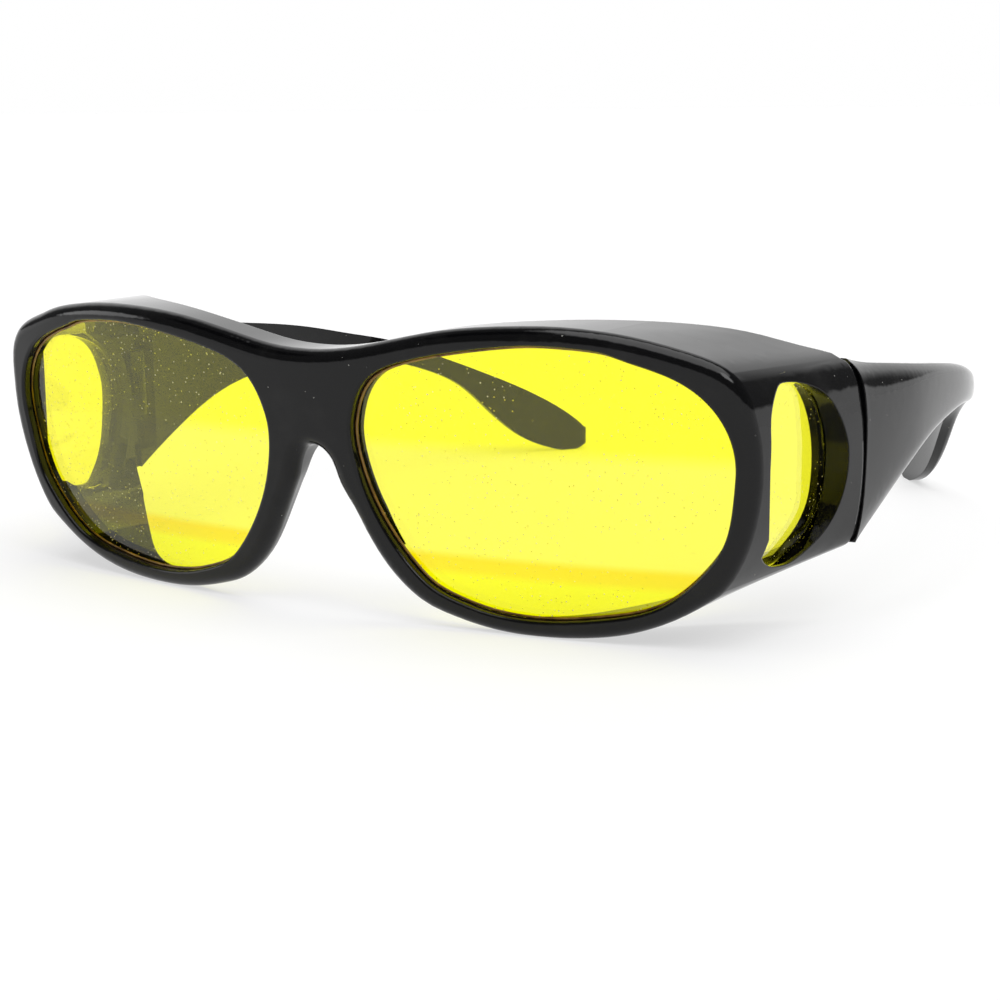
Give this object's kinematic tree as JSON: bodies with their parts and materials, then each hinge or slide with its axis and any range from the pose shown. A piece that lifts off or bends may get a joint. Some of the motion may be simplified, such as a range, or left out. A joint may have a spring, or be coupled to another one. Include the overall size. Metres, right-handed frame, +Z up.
{
  "type": "fitover sunglasses",
  "caption": "Gloss black wraparound fitover sunglasses with yellow lenses, side windows in deep side shields, and folding temples.",
  "frame": {"origin": "on the floor, under the middle of the overall box", "axes": "+X to the right as seen from the front of the glasses, +Y from the lenses back along the temples, +Z up"},
  "size_m": [0.154, 0.1648, 0.0481],
  "materials": {
    "frame_black": "gloss",
    "lens_yellow": "clear yellow",
    "screw_steel": "satin"
  },
  "bodies": {
    "front": {"front_frame": "frame_black", "right_lens": "lens_yellow", "left_lens": "lens_yellow", "right_side_lens": "lens_yellow", "left_side_lens": "lens_yellow", "right_hinge_screw": "screw_steel", "left_hinge_screw": "screw_steel"},
    "right_arm": {"right_temple": "frame_black"},
    "left_arm": {"left_temple": "frame_black"}
  },
  "joints": [
    {"name": "right_temple_fold", "type": "hinge", "parent": "front", "child": "right_arm", "pos_m": [0.0714, -0.03927, 0.0283], "axis": [0, 0, 1], "range_deg": [0, 80]},
    {"name": "left_temple_fold", "type": "hinge", "parent": "front", "child": "left_arm", "pos_m": [-0.0714, -0.03927, 0.0283], "axis": [0, 0, -1], "range_deg": [0, 70]}
  ]
}
